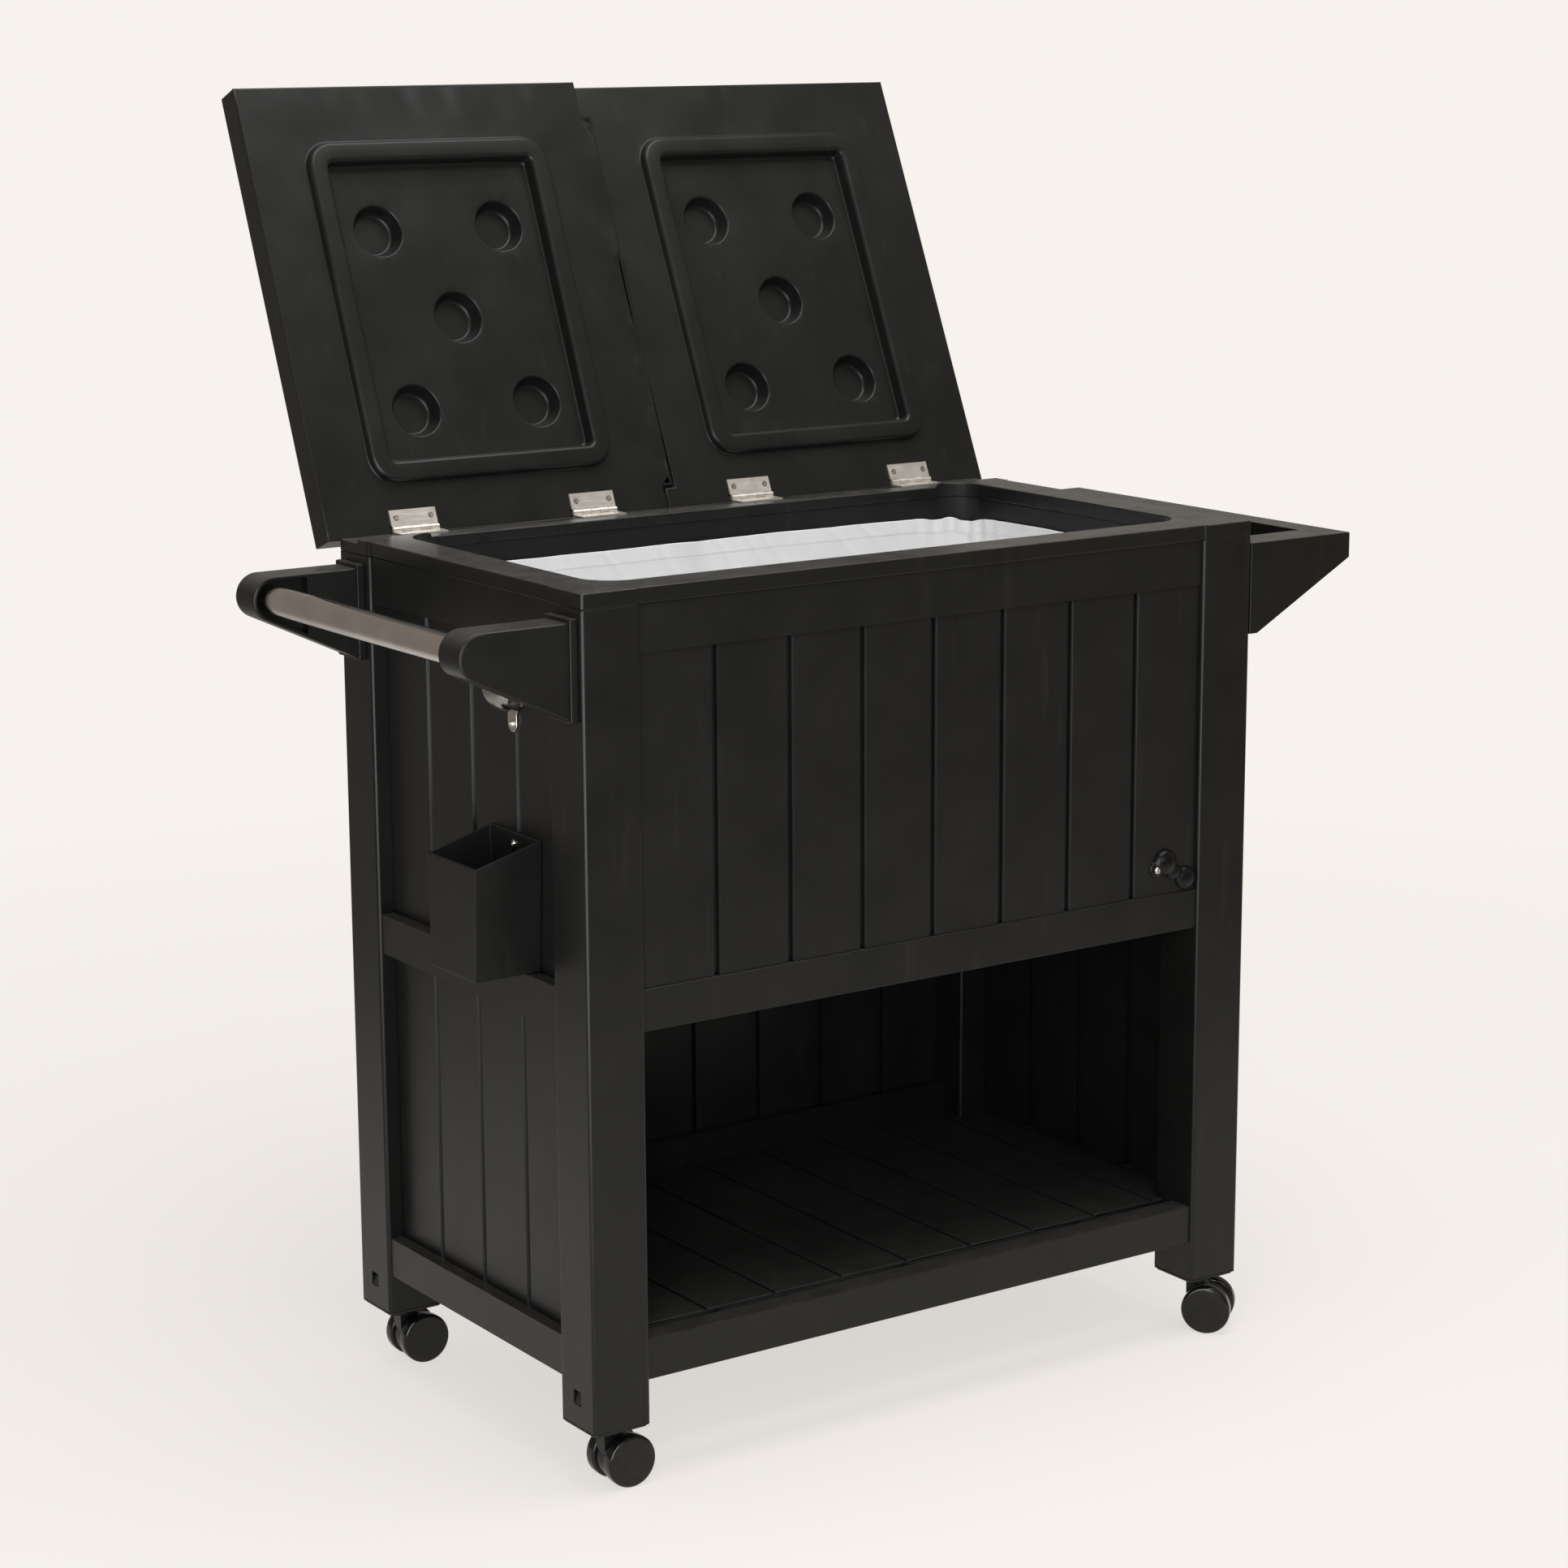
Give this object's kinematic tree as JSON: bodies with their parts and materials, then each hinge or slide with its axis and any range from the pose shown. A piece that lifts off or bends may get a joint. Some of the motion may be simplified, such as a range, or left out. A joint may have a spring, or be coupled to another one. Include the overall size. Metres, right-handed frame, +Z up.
{
  "type": "portable patio bar with cooler",
  "caption": "Rolling patio bar: an insulated cooler under two hinged lids, an open lower shelf, a side tray, a tube handle, a bottle opener with cap catcher and swivel casters.",
  "frame": {"origin": "middle of the whole object's box at rest, lids open, on the floor under the casters", "axes": "+Z up; the open front with the shelf faces -Y; the handle is at -X and the tray at +X; the lids hinge at +Y"},
  "size_m": [1.034, 0.6862, 1.2762],
  "materials": {
    "resin": "satin moulded resin, near black",
    "foam": "rigid foam board",
    "tub_resin": "smooth moulded resin",
    "liner": "white coated cloth, welded",
    "zinc_steel": "zinc plated steel",
    "stainless": "brushed stainless tube",
    "opener_steel": "polished stamped steel",
    "rubber": "soft black rubber",
    "caster_black": "glossy black nylon"
  },
  "bodies": {
    "root": {"post_front_left": "resin", "post_front_right": "resin", "post_rear_left": "resin", "post_rear_right": "resin", "leg_end_caps": "resin", "top_frame": "resin", "front_panel": "resin", "rear_upper_panel": "resin", "rear_lower_panel": "resin", "left_upper_panel": "resin", "left_lower_panel": "resin", "right_upper_panel": "resin", "right_lower_panel": "resin", "front_mid_rail": "resin", "front_bottom_rail": "resin", "rear_mid_rail": "resin", "rear_bottom_rail": "resin", "left_mid_rail": "resin", "left_bottom_rail": "resin", "right_mid_rail": "resin", "right_bottom_rail": "resin", "shelf_deck": "resin", "cooler_floor": "resin", "insulation": "foam", "tub": "tub_resin", "liner": "liner", "hinge_frame_leaves": "zinc_steel", "hinge_pins": "zinc_steel", "handle_bracket_front": "resin", "handle_bracket_rear": "resin", "handle_tube": "stainless", "bottle_opener": "opener_steel", "cap_catcher": "resin", "drain_plug": "rubber", "side_tray": "resin", "fixed_screws": "zinc_steel"},
    "left_lid": {"left_lid_shell": "resin", "left_lid_panel": "resin", "left_lid_leaves": "zinc_steel", "left_leaf_screws": "zinc_steel"},
    "right_lid": {"right_lid_shell": "resin", "right_lid_panel": "resin", "right_lid_leaves": "zinc_steel", "right_leaf_screws": "zinc_steel"},
    "caster_fl": {"caster_fl_hood": "caster_black", "caster_fl_pins": "zinc_steel"},
    "caster_fl_wheel_out": {"caster_fl_wheel_out": "caster_black"},
    "caster_fl_wheel_in": {"caster_fl_wheel_in": "caster_black"},
    "caster_fr": {"caster_fr_hood": "caster_black", "caster_fr_pins": "zinc_steel"},
    "caster_fr_wheel_out": {"caster_fr_wheel_out": "caster_black"},
    "caster_fr_wheel_in": {"caster_fr_wheel_in": "caster_black"},
    "caster_rl": {"caster_rl_hood": "caster_black", "caster_rl_pins": "zinc_steel"},
    "caster_rl_wheel_out": {"caster_rl_wheel_out": "caster_black"},
    "caster_rl_wheel_in": {"caster_rl_wheel_in": "caster_black"},
    "caster_rr": {"caster_rr_hood": "caster_black", "caster_rr_pins": "zinc_steel"},
    "caster_rr_wheel_out": {"caster_rr_wheel_out": "caster_black"},
    "caster_rr_wheel_in": {"caster_rr_wheel_in": "caster_black"}
  },
  "joints": [
    {"name": "left_lid_hinge", "type": "hinge", "parent": "root", "child": "left_lid", "pos_m": [-0.2125, 0.12605, 0.8492], "axis": [1, 0, 0], "range_deg": [0, 112]},
    {"name": "right_lid_hinge", "type": "hinge", "parent": "root", "child": "right_lid", "pos_m": [0.1975, 0.12605, 0.8492], "axis": [1, 0, 0], "range_deg": [0, 114]},
    {"name": "caster_fl_swivel", "type": "hinge", "parent": "root", "child": "caster_fl", "pos_m": [-0.36825, -0.29895, 0.0605], "axis": [0, 0, 1], "continuous": true},
    {"name": "caster_fl_out_roll", "type": "hinge", "parent": "caster_fl", "child": "caster_fl_wheel_out", "pos_m": [-0.35275, -0.3147, 0.0255], "axis": [0, -1, 0], "continuous": true},
    {"name": "caster_fl_in_roll", "type": "hinge", "parent": "caster_fl", "child": "caster_fl_wheel_in", "pos_m": [-0.35275, -0.2832, 0.0255], "axis": [0, -1, 0], "continuous": true},
    {"name": "caster_fr_swivel", "type": "hinge", "parent": "root", "child": "caster_fr", "pos_m": [0.35325, -0.29895, 0.0605], "axis": [0, 0, 1], "continuous": true},
    {"name": "caster_fr_out_roll", "type": "hinge", "parent": "caster_fr", "child": "caster_fr_wheel_out", "pos_m": [0.35115, -0.32095, 0.0255], "axis": [-0.766, -0.6428, 0], "continuous": true},
    {"name": "caster_fr_in_roll", "type": "hinge", "parent": "caster_fr", "child": "caster_fr_wheel_in", "pos_m": [0.37528, -0.3007, 0.0255], "axis": [-0.766, -0.6428, 0], "continuous": true},
    {"name": "caster_rl_swivel", "type": "hinge", "parent": "root", "child": "caster_rl", "pos_m": [-0.36825, 0.09405, 0.0605], "axis": [0, 0, 1], "continuous": true},
    {"name": "caster_rl_out_roll", "type": "hinge", "parent": "caster_rl", "child": "caster_rl_wheel_out", "pos_m": [-0.35221, 0.10924, 0.0255], "axis": [-0.0349, -0.9994, 0], "continuous": true},
    {"name": "caster_rl_in_roll", "type": "hinge", "parent": "caster_rl", "child": "caster_rl_wheel_in", "pos_m": [-0.35331, 0.07776, 0.0255], "axis": [-0.0349, -0.9994, 0], "continuous": true},
    {"name": "caster_rr_swivel", "type": "hinge", "parent": "root", "child": "caster_rr", "pos_m": [0.35325, 0.09405, 0.0605], "axis": [0, 0, 1], "continuous": true},
    {"name": "caster_rr_out_roll", "type": "hinge", "parent": "caster_rr", "child": "caster_rr_wheel_out", "pos_m": [0.36064, 0.11487, 0.0255], "axis": [0.4226, -0.9063, 0], "continuous": true},
    {"name": "caster_rr_in_roll", "type": "hinge", "parent": "caster_rr", "child": "caster_rr_wheel_in", "pos_m": [0.37395, 0.08632, 0.0255], "axis": [0.4226, -0.9063, 0], "continuous": true}
  ]
}
